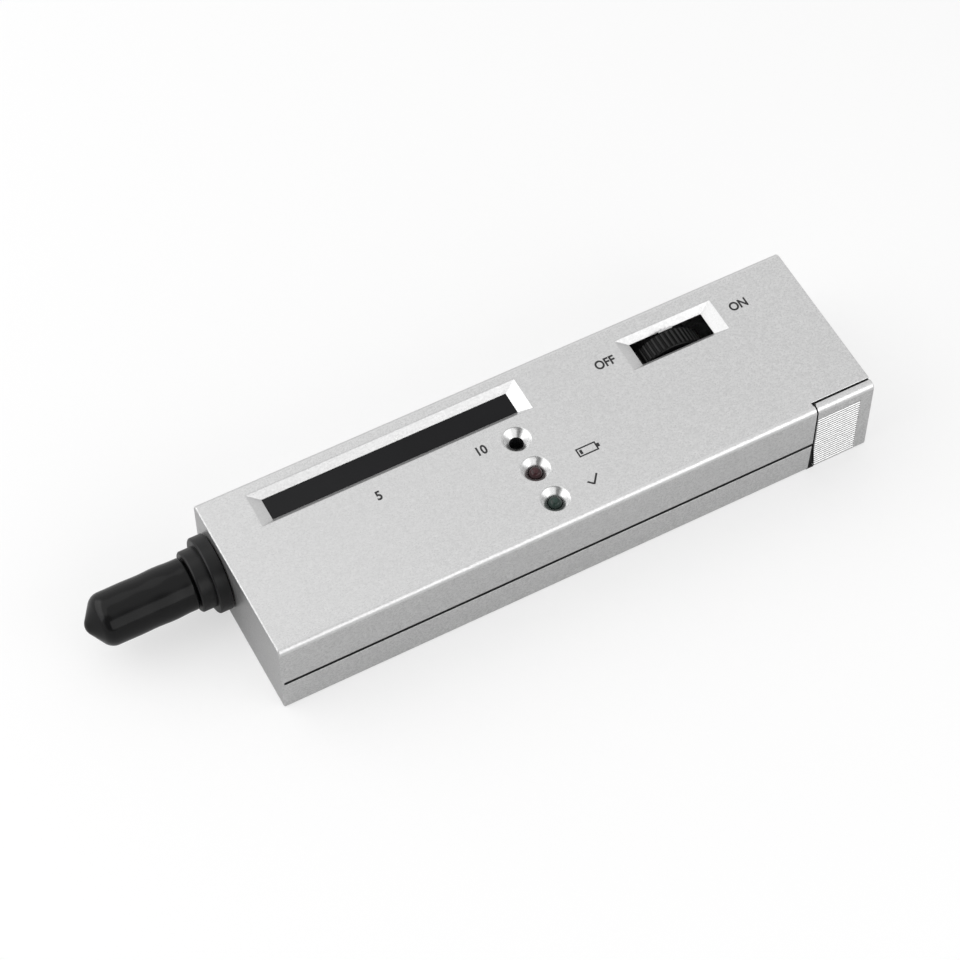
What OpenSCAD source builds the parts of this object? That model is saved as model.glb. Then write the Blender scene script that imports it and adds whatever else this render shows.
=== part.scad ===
// Pocket tester pen: a flat case of two shells with a capped heat probe at one end,
// a light bar behind a window, two lamps, a sound hole, a thumbwheel and a block battery.
// X runs along the case from the probe to the battery door, Y across it away from the door
// and Z up. The origin lies on the table, under the middle of the whole pen.

/* [Case] */
// Thickness of the side walls and the floor
wall = 1.6; // [1.4:0.1:2]
// Thickness of the roof
roof = 1.75; // [1.6:0.05:2.2]
// Rounding of the two long upper edges
edge_r = 1.5; // [0.8:0.1:1.9]
// Rounding of the two long lower edges
base_r = 0.5; // [0.2:0.1:0.8]
// Height of the parting line above the table
part_z = 8.9; // [8:0.1:9.5]
// Height of the shadow groove along the parting line
seam_h = 1; // [0.6:0.1:1.2]
// Depth of the shadow groove
seam_d = 0.7; // [0.5:0.1:0.8]
// Distance of the groove's ends from the ends of the case
seam_end = 0.5; // [0.4:0.1:1.2]
// Height of the lip that locates the two shells
lip_h = 1; // [0.6:0.1:1.4]
// Radius of the screw posts in the upper shell
post_r = 2.5; // [2.2:0.1:2.7]
// Radius of the screw feet in the lower shell
foot_r = 3; // [2.8:0.1:3.2]
// Loose clearance between neighbouring pieces
clear = 0.3; // [0.2:0.05:0.4]
// Close clearance between pieces that locate each other
fit = 0.1; // [0.05:0.05:0.15]
// Clearance of pieces that turn or slide in each other
run = 0.05; // [0.03:0.01:0.08]

/* [Battery] */
// Length of the battery without its contacts
battery_l = 46.2; // [44:0.1:48]
// Width of the battery
battery_w = 26.5; // [25:0.1:27.5]
// Height of the battery
battery_h = 17.4; // [16.5:0.1:18.5]
// Clearance round the battery and the rotary control
bay_clear = 0.25; // [0.15:0.05:0.4]
// Height of the battery's contacts
terminal_h = 2.2; // [1.8:0.1:2.6]
// Distance between the two contacts
terminal_pitch = 12.7; // [12:0.1:13.5]
// Radius of the contact stud
stud_r = 2.85; // [2.6:0.05:3]
// Thickness of the snap connector
snap_t = 3.3; // [2.5:0.1:4]
// Thickness of the wall that stops the connector
stop_t = 1.2; // [0.8:0.1:1.8]

/* [Battery door] */
// Length of the door along the case
door_l = 14; // [12:0.5:18]
// Width of the door's strips on the roof and the floor
door_strip = 1.95; // [1.9:0.05:2.4]
// Gap between those strips and the case
door_gap = 0.45; // [0.3:0.05:0.6]
// Gap between the door's end and the case
door_play = 0.35; // [0.1:0.05:0.5]
// Gap at the lower shell's edge, at the parting line
wedge_top = 0.1; // [0.05:0.05:0.3]
// The same gap at the table
wedge_foot = 0.4; // [0.2:0.05:0.7]
// Distance that the door's edge draws back from the parting line to the table
door_cut = 0.9; // [0.5:0.05:1.2]
// Reach of the door's tongue behind the case wall
tongue_l = 4.5; // [3:0.1:6]
// Thickness of the door's tongue and rails
lap_t = 0.7; // [0.5:0.05:0.8]
// Width of the door's rails
rail_w = 1.2; // [0.8:0.1:1.6]
// Pitch of the grip ribs
rib_pitch = 0.82; // [0.65:0.01:0.95]
// Depth of the grooves between the ribs
rib_d = 0.3; // [0.15:0.05:0.4]
// Length of the ribbed field
rib_l = 10.9; // [8:0.1:11.8]
// Plain height below the ribbed field
rib_foot = 0.7; // [0.6:0.1:1.5]
// Plain height above it, up to the rounded edge
rib_head = 1.8; // [1:0.1:2.6]

/* [Light bar] */
// Distance of the window opening from the probe end
window_u = 13.1; // [13:0.1:14]
// Length of the window opening
window_l = 56.5; // [50:0.1:57]
// Width of the window opening
window_w = 5.4; // [4.8:0.1:5.7]
// Distance of the window's middle line from the far side
window_inset = 7.3; // [6.9:0.05:7.6]
// Width of the window's bevels at its ends
window_bevel_end = 2.9; // [2:0.1:3.2]
// Width of the window's bevels at its sides
window_bevel_side = 1.55; // [1:0.05:1.7]
// Upright land under every bevel and countersink
land = 0.15; // [0.1:0.05:0.3]
// Thickness of the pane
pane_t = 1.2; // [0.8:0.1:1.6]
// Overlap of the pane under the roof
pane_lap = 1.2; // [0.8:0.1:1.3]
// Number of lights in the bar
light_count = 12; // [8:1:12]
// Width of one light along the bar
light_l = 2; // [1.5:0.1:2.4]
// Wall of the light block round the lights
light_wall = 0.25; // [0.2:0.05:0.4]

/* [Lamps and sounder] */
// Distance of the three holes from the probe end
lamp_u = 65.6; // [62:0.1:68]
// Distance of the middle hole from the near side
lamp_v = 14.9; // [14:0.1:15.5]
// Distance between the holes
lamp_pitch = 8.3; // [7.5:0.1:8.6]
// Radius of a lamp
lamp_r = 1.5; // [1.2:0.05:1.6]
// Rim of a lamp outside its dome
lamp_rim = 0.4; // [0.3:0.05:0.5]
// Depth of a lamp's top below the roof
lamp_recess = 0.5; // [0.4:0.1:0.9]
// Height of a lamp
lamp_h = 5.9; // [5.3:0.1:6.4]
// Radius of the sound hole
sound_r = 1.55; // [1:0.05:1.8]
// Radius of the countersinks
sink_r = 3.1; // [2.6:0.05:3.4]

/* [Thumbwheel] */
// Width of the wheel
wheel_w = 4.2; // [3.6:0.1:4.8]
// Depth of the wheel's crown below the roof
wheel_drop = 0.7; // [0.3:0.05:1]
// Clearance under the wheel
wheel_floor = 1; // [0.7:0.05:1.4]
// Clearance on each side of the wheel
wheel_gap = 0.8; // [0.6:0.05:1]
// Distance of the axle from the door end
wheel_back = 31.6; // [29:0.1:33]
// Radius of the axle
axle_r = 2; // [1.7:0.05:2.3]
// Number of ridges on the wheel
ridge_count = 48; // [40:1:64]
// Depth of the grooves between the ridges
ridge_d = 0.4; // [0.25:0.05:0.5]
// Thickness of the rotary control's body
control_t = 4; // [3.4:0.1:5]
// Length of the slot opening
slot_l = 17.4; // [16:0.1:19]
// Distance of the slot's middle from the axle, toward the door end
slot_shift = 0.8; // [0:0.1:1.2]
// Clearance of the slot on each side of the wheel
slot_side = 0.8; // [0.5:0.05:0.8]
// Width of the slot's bevels at its ends
slot_bevel_end = 2.95; // [2:0.05:3.4]
// Width of the slot's bevels at its sides
slot_bevel_side = 1.4; // [1:0.05:1.7]
// Width of the index tab at the slot
tab_w = 3.3; // [2:0.1:4]
// Reach of the index tab
tab_reach = 0.3; // [0.2:0.05:0.35]

/* [Probe] */
// Distance of the probe's axis from the far side
probe_inset = 10.3; // [10:0.1:11]
// Radius of the collar's outer ring
ring_r = 8.35; // [7.6:0.05:8.8]
// Length of the collar's outer ring
ring_l = 2.95; // [2:0.05:4]
// Shadow gap between that ring and the case
ring_gap = 0.35; // [0.2:0.05:0.5]
// Radius of the collar's second ring
step_r = 6.7; // [6.2:0.05:7.2]
// Length of the collar's second ring
step_l = 3.1; // [2:0.1:4]
// Radius of the collar's neck in the case wall
neck_r = 6.4; // [5.8:0.1:6.8]
// Lip of the collar's flange inside the case
flange_lip = 1.2; // [0.8:0.1:1.5]
// Thickness of that flange
flange_t = 1.5; // [1:0.1:2]
// Radius of the spigot that holds the cap
spigot_r = 4.3; // [4:0.05:4.4]
// Length of that spigot
spigot_l = 6.5; // [5:0.1:7.5]
// Radius of the collar's nose at its end
nose_r = 3.1; // [2.9:0.05:3.6]
// Length of that nose
nose_l = 4; // [3:0.1:5]
// Radius of the sleeve
sleeve_r = 2.5; // [2.3:0.05:2.6]
// Radius of the sleeve's bore
sleeve_bore = 1.7; // [1.6:0.05:1.9]
// Length of sleeve in front of the nose
sleeve_out = 5; // [4:0.1:5.5]
// Thickness of the sleeve's front end
sleeve_lip = 0.8; // [0.6:0.05:1.2]
// Radius of the tip
tip_r = 0.75; // [0.6:0.05:0.9]
// Length of tip in front of the sleeve
tip_out = 2.5; // [2:0.1:2.8]
// Length of the tip's head inside the sleeve
head_t = 1.4; // [1:0.1:2]
// Radius of the rod behind the head
rod_r = 0.6; // [0.5:0.05:0.7]
// Length of the heater on that rod
heater_l = 3; // [2:0.1:4]
// Length of the plug that closes the sleeve
plug_l = 12; // [10:0.5:14]
// Radius of the spring wire
wire_r = 0.2; // [0.15:0.01:0.25]
// Number of turns of the spring
spring_turns = 9; // [6:1:10]

/* [Cap] */
// Length of the cap
cap_l = 23.1; // [22:0.1:25]
// Radius of the cap
cap_r = 5.8; // [5.5:0.05:6.1]
// Angle of the cap's cone from its axis
cap_angle = 55; // [50:1:60]
// Rounding of the cap's shoulder
cap_shoulder_r = 3.1; // [2.6:0.1:3.6]
// Rounding of the cap's blunt end
cap_tip_r = 2.6; // [2.2:0.1:2.9]
// Gap between the cap and the collar
cap_gap = 0.15; // [0.1:0.05:0.3]
// Thickness of the cap at its closed end
cap_end_t = 2.8; // [2.4:0.1:3]

/* [Circuit board] */
// Distance of the board from the probe end
board_u = 11.5; // [11:0.1:11.8]
// Length of the board without its arm
board_l = 70.5; // [69:0.1:76]
// Thickness of the board
board_t = 1.6; // [1.2:0.1:1.8]
// Distance of the board below the roof
board_drop = 7.3; // [6.8:0.1:7.8]
// Radius of the board's screw posts
peg_r = 2.2; // [1.8:0.1:2.5]
// Distance of the first pieces from the board's probe end
piece_inset = 10; // [9:0.1:12]
// Height of the two chips
chip_h = 3.4; // [2.8:0.1:4]
// Width of the two chips
chip_w = 6.4; // [6:0.1:7]
// Length of the driver chip
driver_l = 22.9; // [20:0.1:24]
// Length of the amplifier chip
amplifier_l = 9.8; // [8:0.1:11]
// Distance between the two chips
chip_gap = 12; // [8:0.1:14]
// Radius of the capacitors
capacitor_r = 2.5; // [2:0.1:3]
// Height of the capacitors
capacitor_h = 5.5; // [4.5:0.1:6.5]
// Distance of the first capacitor from the first pieces
capacitor_step = 14; // [12:0.1:16]
// Distance between the two capacitors
capacitor_pitch = 18; // [14:0.1:20]
// Radius of the resistors
resistor_r = 0.9; // [0.6:0.1:1.1]
// Length of the resistors
resistor_l = 6; // [5:0.1:7]
// Distance between the resistors
resistor_pitch = 3; // [2.6:0.1:3.3]
// Distance of the resistors from the second capacitor
resistor_gap = 5.5; // [3:0.1:6]
// Side of the trimmer
trimmer_w = 6.8; // [6:0.1:7.5]
// Height of the trimmer
trimmer_h = 4.5; // [4:0.1:5]
// Radius of the battery leads
lead_r = 0.55; // [0.4:0.05:0.6]
// Radius of the probe leads
probe_lead_r = 0.35; // [0.25:0.05:0.4]

/* [Screws] */
// Radius of the case screws' shanks
screw_r = 1.1; // [0.9:0.05:1.2]
// Radius of the case screws' heads
screw_head_r = 2.1; // [1.8:0.05:2.2]
// Height of the case screws' heads
screw_head_h = 1.6; // [1.2:0.1:2]
// Length of the case screws' shanks
screw_l = 11; // [9:0.1:12]
// Depth of the screw heads' seats above the table
screw_seat = 4; // [3:0.1:5]
// Radius of the board screws' shanks
board_screw_r = 0.75; // [0.6:0.05:0.9]
// Radius of the board screws' heads
board_head_r = 1.7; // [1.4:0.05:2]
// Height of the board screws' heads
board_head_h = 1.2; // [0.8:0.1:1.6]
// Length of the board screws' shanks
board_screw_l = 6; // [4:0.1:6.5]

/* [Hidden] */
$fn = 64;

// Overlap of cutting shapes past the faces they cut
over = 1;
// Overlap of shapes that are joined into one solid
sink = 0.2;

// Places are measured from the case's probe end (u), near side (v) and underside (z)
ceiling = wall + battery_h + 2 * bay_clear;
body_h = ceiling + roof;
battery_v = wall + bay_clear;
battery_far = battery_v + battery_w;
battery_z = wall + bay_clear;
wheel_near = battery_far + wheel_gap;
wheel_far = wheel_near + wheel_w;
control_near = wheel_far + wheel_gap;
control_far = control_near + control_t;
body_w = control_far + bay_clear + wall;
inner_far = body_w - wall;

board_end = board_u + board_l;
stop_u = board_end + 2 * clear;
snap_u = stop_u + stop_t + clear;
snap_end = snap_u + snap_t;
terminal_u = snap_end + clear;
battery_u = terminal_u + terminal_h;
bay_end = battery_u + battery_l + clear;
body_l = bay_end + wall;
door_u = body_l - door_l;

// Small steps of the probe inside the case
tail_l = 2;
tail_step = 0.3;
lead_room = 3.5;
rod_guide = 3;

// Probe stations, outwards from the case
probe_v = body_w - probe_inset;
probe_z = body_h / 2;
ring_end = -ring_gap - ring_l;
step_end = ring_end - step_l;
spigot_end = step_end - spigot_l;
nose_end = spigot_end - nose_l;
sleeve_end = nose_end - sleeve_out;
tip_end = sleeve_end - tip_out;
cap_base = step_end - cap_gap;
cap_end = cap_base - cap_l;
flange_end = wall + fit + flange_t;
collar_tail = flange_end + tail_l;
tail_r = spigot_r - tail_step;
head_u = sleeve_end + sleeve_lip + run;
heater_u = head_u + head_t;
spring_u = heater_u + heater_l;
sleeve_rear = board_u - lead_room;
plug_u = sleeve_rear - plug_l;
rod_end = plug_u + rod_guide;

// The whole pen is centred on the origin
case_x = -(body_l - cap_end) / 2 - cap_end;

// Wheel and rotary control
wheel_r = (body_h - wheel_drop - wall - wheel_floor) / 2;
wheel_u = body_l - wheel_back;
slot_u = wheel_u + slot_shift;
wheel_v = (wheel_near + wheel_far) / 2;
wheel_z = body_h - wheel_drop - wheel_r;
control_r = ceiling - wheel_z - 2 * clear;
hub_recess = 1.2;
hub_r = axle_r + 1;
hub_floor = wheel_near + hub_recess;
slot_w = wheel_w + 2 * slot_side;

// Window and lamps
window_v = body_w - window_inset;
window_mid = window_u + window_l / 2;
board_top = ceiling - board_drop;
board_under = board_top - board_t;
pane_under = ceiling - pane_t;
block_top = pane_under - clear;
block_w = window_w - clear;
buzzer_v = lamp_v + lamp_pitch;
lamp_rim_r = lamp_r + lamp_rim;
buzzer_r = min(lamp_pitch - lamp_rim_r, window_v - window_w / 2 - pane_lap - buzzer_v) - clear;

// Screw posts of the case and the board
peg_edge = 2;
post_back = 5;
post_u = board_u - foot_r - clear / 2;
post_inset = wall + foot_r + clear;
posts = [
    [post_u, post_inset],
    [post_u, body_w - post_inset],
    [board_end - foot_r - 2 * clear, post_inset],
    [body_l - wall - foot_r - post_back, body_w - post_inset]
];
pegs = [
    [board_u + peg_r + peg_edge, lamp_v - peg_r - peg_edge],
    [board_u + board_l / 2, lamp_v + lamp_pitch / 2],
    [board_end - peg_r - peg_edge, probe_v]
];
corner_l = 2 * foot_r + 4 * clear;
corner_w = post_inset + foot_r + clear;

// Room at the ends of the battery's side rails and of the lips
rail_room = 2;

// Door
tongue_edge = 1;
panel_far = battery_far + 4 * clear;
strip_far = door_strip + door_gap;
wedge_d = wall - lap_t - fit;
rail_far = strip_far + rail_w;
door_start = door_u + door_play;
rib_count = floor((body_h - edge_r - rib_foot - rib_head) / rib_pitch);

// Small pieces on the board's underside
piece_u = board_u + piece_inset;
chip_v = probe_v - chip_w;
amplifier_u = piece_u + driver_l + chip_gap;
capacitor_u = piece_u + capacitor_step;
resistor_u = capacitor_u + capacitor_pitch + capacitor_r + resistor_gap;
resistor_count = 5;

// Routes of the leads, one list of points each
snap_z = battery_z + battery_h / 2;
battery_mid = battery_v + battery_w / 2;
contact_wall = 1.4;
lead_z = board_top + lead_r + fit;
lead_apart = 1.5;
lead_turns = [[0, 0], [-1.2, 0], [-2.6, 0.1], [-4, 0.25], [-5.5, 0.3], [-7, 0.3], [-8.5, 0.2]];
probe_lead_z = board_top + probe_lead_r + fit;

// Frame of the case's near lower corner at its probe end
module in_case() translate([case_x, -body_w / 2, 0]) children();

// Frame whose Z axis is the probe's axis, with the case's probe end at zero
module on_probe() translate([0, probe_v, probe_z]) rotate([0, 90, 0]) children();

// Frame whose Z axis is the wheel's axis, with the near side at zero
module on_wheel() translate([wheel_u, 0, wheel_z]) rotate([-90, 0, 0]) children();

// Box between two corners
module block(low, high) translate(low) cube(high - low);

// Upright pin or hole from one height to another
module upright(place, r, low, high) translate([place[0], place[1], low]) cylinder(r = r, h = high - low);

// Extrusion along the case of a section drawn across it
module along_case(length) rotate([90, 0, 90]) linear_extrude(length) children();

// Ring of points round a path's point
function unit(v) = v / norm(v);
function ring(p, way, side, r, n) =
    let (a = unit(cross(side, way)), b = cross(way, a))
    [for (k = [0 : n - 1]) p + r * (cos(360 * k / n) * a + sin(360 * k / n) * b)];

// Tube swept along a path, of n sides; side is a direction the path never takes
module tube(path, r, n, side) {
    last = len(path) - 1;
    points = [
        for (i = [0 : last])
        each ring(path[i], unit(path[min(i + 1, last)] - path[max(i - 1, 0)]), side, r, n)
    ];
    walls = [
        for (i = [0 : last - 1])
        for (k = [0 : n - 1])
        let (a = i * n + k, b = i * n + (k + 1) % n)
        each [[a, a + n, b + n], [a, b + n, b]]
    ];
    first_end = [for (k = [1 : n - 2]) [0, k, k + 1]];
    last_end = [for (k = [1 : n - 2]) [last * n, last * n + k + 1, last * n + k]];
    polyhedron(points, concat(walls, first_end, last_end));
}

// Section across the case, with its long edges rounded
module case_section() {
    translate([0, base_r]) square([body_w, body_h - base_r - edge_r]);
    translate([base_r, 0]) square([body_w - 2 * base_r, body_h / 2]);
    translate([edge_r, body_h / 2]) square([body_w - 2 * edge_r, body_h / 2]);
    for (v = [base_r, body_w - base_r]) translate([v, base_r]) circle(base_r);
    for (v = [edge_r, body_w - edge_r]) translate([v, body_h - edge_r]) circle(edge_r);
}

module case_block() along_case(body_l) case_section();

// Trapezium that widens upwards from a half width by a bevel, and on past the roof
module bevel_section(half, bevel) {
    deep = roof - land;
    grow = bevel * (deep + over) / deep;
    polygon([[-half, 0], [half, 0], [half + grow, deep + over], [-half - grow, deep + over]]);
}

// Bevelled opening through the roof
module bevelled_opening(u, v, l, w, bevel_end, bevel_side) {
    translate([u, v, ceiling + land]) intersection() {
        rotate([90, 0, 0])
            linear_extrude(2 * body_w, center = true)
                bevel_section(l / 2, bevel_end);
        rotate([90, 0, 90])
            linear_extrude(2 * body_l, center = true)
                bevel_section(w / 2, bevel_side);
    }
    block([u - l / 2, v - w / 2, ceiling - over], [u + l / 2, v + w / 2, ceiling + land + sink]);
}

// Countersunk hole through the roof
module sunk_hole(v, r) {
    deep = roof - land;
    grow = (sink_r - r) * (deep + over) / deep;
    upright([lamp_u, v], r, ceiling - over, ceiling + land + sink);
    translate([lamp_u, v, ceiling + land]) cylinder(r1 = r, r2 = r + grow, h = deep + over);
}

// Shadow groove along both long sides
module seam_grooves() {
    for (v = [-over, body_w - seam_d])
        block([seam_end, v, part_z - seam_h / 2], [body_l - seam_end, v + over + seam_d, part_z + seam_h / 2]);
}

// Lips inside the long walls, grown by a clearance for the rebates that take them
module lips(grow) {
    u0 = wall + rail_room - grow;
    low = part_z - sink;
    high = part_z + lip_h + grow;
    block([u0, seam_d + fit - grow, low], [door_u - tongue_l - rail_room + grow, wall + grow, high]);
    block([u0, inner_far - grow, low], [bay_end - rail_room + grow, body_w - seam_d - fit + grow, high]);
}

// Space for the door that both shells leave open
module door_space() {
    block([bay_end - over, 0, wall], [body_l + over, panel_far + clear, ceiling]);
    block([door_u, -over, ceiling - over], [body_l + over, rail_far + fit, ceiling + lap_t + fit]);
    block([door_u, -over, wall - lap_t - fit], [body_l + over, rail_far + fit, wall + over]);
    block([door_u - tongue_l - clear, wall - lap_t - fit, wall + tongue_edge],
          [door_u + sink, wall + over, ceiling - tongue_edge]);
}

// Hole for the collar's neck, or for its tail in the rib behind the flange
module collar_hole(r) {
    on_probe() translate([0, 0, -over]) cylinder(r = r, h = collar_tail + over);
    block([-over, probe_v - r, part_z], [collar_tail, probe_v + r, probe_z]);
}

// Rib that traps the collar's flange against the end wall
module collar_rib(low, high) {
    u = flange_end + fit;
    difference() {
        block([u, probe_v - neck_r, low], [u + wall / 2, inner_far - 2 * clear, high]);
        translate([u, 0, 0]) collar_hole(tail_r + fit);
    }
}

module upper_shell() color("silver") in_case() difference() {
    union() {
        difference() {
            case_block();
            block([-over, -over, -over], [body_l + over, body_w + over, part_z]);
            block([wall, wall, 0], [bay_end, inner_far, ceiling]);
            bevelled_opening(window_mid, window_v, window_l, window_w, window_bevel_end, window_bevel_side);
            bevelled_opening(slot_u, wheel_v, slot_l, slot_w, slot_bevel_end, slot_bevel_side);
        }
        for (p = posts) upright(p, post_r, part_z, ceiling + sink);
        for (p = pegs) upright(p, peg_r, board_top, ceiling + sink);
        collar_rib(part_z, ceiling + sink);
        block([slot_u - tab_w / 2, wheel_v + slot_w / 2 - tab_reach, ceiling],
              [slot_u + tab_w / 2, wheel_v + slot_w / 2 + sink, ceiling + 2 * land]);
    }
    for (v = [lamp_v, lamp_v - lamp_pitch]) sunk_hole(v, lamp_r + fit);
    sunk_hole(buzzer_v, sound_r);
    for (p = posts) upright(p, screw_r + run, part_z - over, screw_seat + screw_l + clear);
    for (p = pegs) upright(p, board_screw_r + run, board_top - over, board_under + board_screw_l + clear);
    collar_hole(neck_r + fit);
    seam_grooves();
    lips(fit);
    door_space();
    block([door_u, -over, part_z - over], [body_l + over, strip_far, body_h + over]);
}

module lower_shell() color("silver") in_case() difference() {
    union() {
        difference() {
            case_block();
            block([-over, -over, part_z], [body_l + over, body_w + over, body_h + over]);
            block([wall, wall, wall], [bay_end, inner_far, body_h]);
            seam_grooves();
        }
        for (p = posts) upright(p, foot_r, wall - sink, part_z);
        collar_rib(wall - sink, part_z);
        lips(0);
        block([stop_u, wall - sink, wall - sink], [stop_u + stop_t, battery_far + bay_clear, part_z]);
        block([stop_u, battery_far + bay_clear, wall - sink],
              [wheel_u - wheel_r - rail_room, battery_far + bay_clear + stop_t, part_z]);
        block([wheel_u + wheel_r + rail_room, battery_far + bay_clear, wall - sink],
              [bay_end - rail_room / 2, battery_far + bay_clear + stop_t, part_z]);
    }
    for (p = posts) {
        upright(p, screw_r + fit, -over, part_z + over);
        upright(p, screw_head_r + fit, -over, screw_seat);
    }
    collar_hole(neck_r + fit);
    door_space();
    block([door_u, -over, -over], [body_l + over, strip_far, part_z + lip_h + over]);
    translate([0, wedge_d, 0]) rotate([90, 0, 0]) linear_extrude(wedge_d + over) polygon([
        [door_u - wedge_foot, -over],
        [door_u + sink, -over],
        [door_u + sink, part_z + lip_h + over],
        [door_u - wedge_top, part_z + lip_h + over],
        [door_u - wedge_top, part_z],
        [door_u - wedge_foot, 0]
    ]);
}

// Grooves of the door's grip, between ribs with flat crests
module grip_grooves() {
    half = 0.4 * rib_pitch;
    for (k = [0 : rib_count - 1])
        translate([door_u - over, 0, rib_foot + (k + 0.5) * rib_pitch])
            along_case(rib_l + over)
                polygon([[-sink, -half], [0, -half], [rib_d, 0], [0, half], [-sink, half]]);
}

// Wedge off the door's edge below the parting line, as deep as the skin in front of the tongue
module door_wedge() translate([0, wedge_d, 0]) rotate([90, 0, 0]) linear_extrude(wedge_d + over) polygon([
    [door_start - over, -over],
    [door_start + door_cut, -over],
    [door_start + door_cut, 0],
    [door_start, part_z],
    [door_start - over, part_z]
]);

module battery_door() color("silver") in_case() difference() {
    union() {
        difference() {
            intersection() {
                case_block();
                block([door_start, -over, -over], [body_l + over, door_strip, body_h + over]);
            }
            block([door_u, wall, wall], [body_l + over, door_strip + over, ceiling]);
        }
        block([bay_end, wall - sink, wall + fit], [body_l, panel_far, ceiling - fit]);
        for (z = [wall - lap_t, ceiling])
            block([door_start, door_strip - sink, z], [body_l, rail_far, z + lap_t]);
        block([door_u - tongue_l, wall - lap_t, wall + tongue_edge + clear],
              [door_u + tongue_edge, wall, ceiling - tongue_edge - clear]);
    }
    grip_grooves();
    door_wedge();
}

module bar_window() color("black") in_case()
    block([window_u - pane_lap, window_v - window_w / 2 - pane_lap, pane_under],
          [window_u + window_l + pane_lap, window_v + window_w / 2 + pane_lap, ceiling]);

// Centre of each light along the bar
function light_place(k) = window_u + window_l * (k + 0.5) / light_count;

module light_block() color("black") in_case() difference() {
    block([window_u + clear, window_v - block_w / 2, board_top],
          [window_u + window_l - clear, window_v + block_w / 2, block_top]);
    for (k = [0 : light_count - 1])
        block([light_place(k) - light_l / 2 - run, window_v - block_w / 2 + light_wall, board_top - over],
              [light_place(k) + light_l / 2 + run, window_v + block_w / 2 - light_wall, block_top + over]);
}

module bar_lights() color("white") in_case()
    for (k = [0 : light_count - 1])
        block([light_place(k) - light_l / 2, window_v - block_w / 2 + light_wall + run, board_top],
              [light_place(k) + light_l / 2, window_v + block_w / 2 - light_wall - run, block_top - clear]);

// Round lamp with a dome, a rim and two legs down to the board
module lamp(v) {
    top = body_h - lamp_recess;
    low = top - lamp_h;
    flange = 1;
    leg = 0.25;
    in_case() {
        upright([lamp_u, v], lamp_rim_r, low, low + flange);
        upright([lamp_u, v], lamp_r, low, top - lamp_r);
        translate([lamp_u, v, top - lamp_r]) sphere(lamp_r);
        for (u = [lamp_u - lamp_r + leg, lamp_u + lamp_r - leg])
            block([u - leg, v - leg, board_top], [u + leg, v + leg, low + sink]);
    }
}

module ready_lamp() color("darkgreen") lamp(lamp_v - lamp_pitch);

module battery_lamp() color("darkred") lamp(lamp_v);

module buzzer() color("black") in_case() difference() {
    upright([lamp_u, buzzer_v], buzzer_r, board_top, ceiling - clear);
    upright([lamp_u, buzzer_v], sound_r, ceiling - 2 * roof, ceiling);
}

module main_board() color("green") in_case() difference() {
    union() {
        block([board_u, wall + clear, board_under], [board_end, inner_far - clear, board_top]);
        block([board_end - over, control_near, board_under],
              [wheel_u - control_r - clear, inner_far - clear, board_top]);
    }
    block([board_end - corner_l, 0, board_under - over], [board_end + over, corner_w, board_top + over]);
    for (p = pegs) upright(p, board_screw_r + fit, board_under - over, board_top + over);
}

module board_screws() color("gray") in_case() for (p = pegs) {
    upright(p, board_head_r, board_under - board_head_h, board_under);
    upright(p, board_screw_r, board_under - sink, board_under + board_screw_l);
}

// Box-shaped piece under the board
module under_board(u, v, l, w, h) in_case()
    block([u, v, board_under - h], [u + l, v + w, board_under]);

module driver_chip() color("dimgray") under_board(piece_u, chip_v, driver_l, chip_w, chip_h);

module amplifier_chip() color("dimgray")
    under_board(amplifier_u, chip_v, amplifier_l, chip_w, chip_h);

module capacitors() color("navy") in_case()
    for (u = [capacitor_u, capacitor_u + capacitor_pitch])
        upright([u, post_inset], capacitor_r, board_under - capacitor_h, board_under);

module resistors() color("tan") in_case()
    for (k = [0 : resistor_count - 1]) {
        v = post_inset + k * resistor_pitch;
        z = board_under - resistor_r - fit;
        translate([resistor_u, v, z]) rotate([0, 90, 0]) cylinder(r = resistor_r, h = resistor_l);
        for (u = [resistor_u + sink, resistor_u + resistor_l - 2 * sink])
            block([u, v - sink / 2, z], [u + sink, v + sink / 2, board_under]);
    }

module trimmer() color("royalblue")
    under_board(piece_u, lamp_v, trimmer_w, trimmer_w, trimmer_h);

module control_body() color("dimgray") in_case() on_wheel() difference() {
    translate([0, 0, control_near]) cylinder(r = control_r, h = control_t);
    translate([0, 0, control_near - over]) cylinder(r = axle_r + run, h = control_t);
}

module control_pins() color("lightgray") in_case() {
    pin_l = 3;
    u = wheel_u - control_r - fit;
    for (k = [-1 : 1]) {
        v = (control_near + control_far) / 2 + k * control_t / 4;
        block([u - pin_l, v - control_t / 12, board_top], [u, v + control_t / 12, board_top + clear]);
    }
}

module wheel_axle() color("lightgray") in_case() on_wheel() difference() {
    translate([0, 0, hub_floor]) cylinder(r = axle_r, h = control_far - over - hub_floor - fit);
    translate([0, 0, hub_floor - over]) cylinder(r = axle_r / 2 + run, h = wheel_w + over);
}

module thumbwheel() color("black") in_case() on_wheel() difference() {
    translate([0, 0, wheel_near]) cylinder(r = wheel_r, h = wheel_w);
    translate([0, 0, wheel_near - over]) cylinder(r = hub_r + clear, h = hub_recess + over);
    translate([0, 0, wheel_near]) cylinder(r = axle_r + run, h = wheel_w + over);
    for (k = [0 : ridge_count - 1])
        rotate(360 * k / ridge_count)
            translate([wheel_r - ridge_d, -wheel_r * 90 / ridge_count * PI / 180, wheel_near - over])
                cube([ridge_d + over, wheel_r * PI / ridge_count, wheel_w + 2 * over]);
}

module wheel_screw() color("lightgray") in_case() on_wheel() {
    translate([0, 0, wheel_near + fit]) cylinder(r = hub_r, h = hub_recess - fit);
    translate([0, 0, hub_floor - sink]) cylinder(r = axle_r / 2, h = wheel_w - hub_recess);
}

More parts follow.
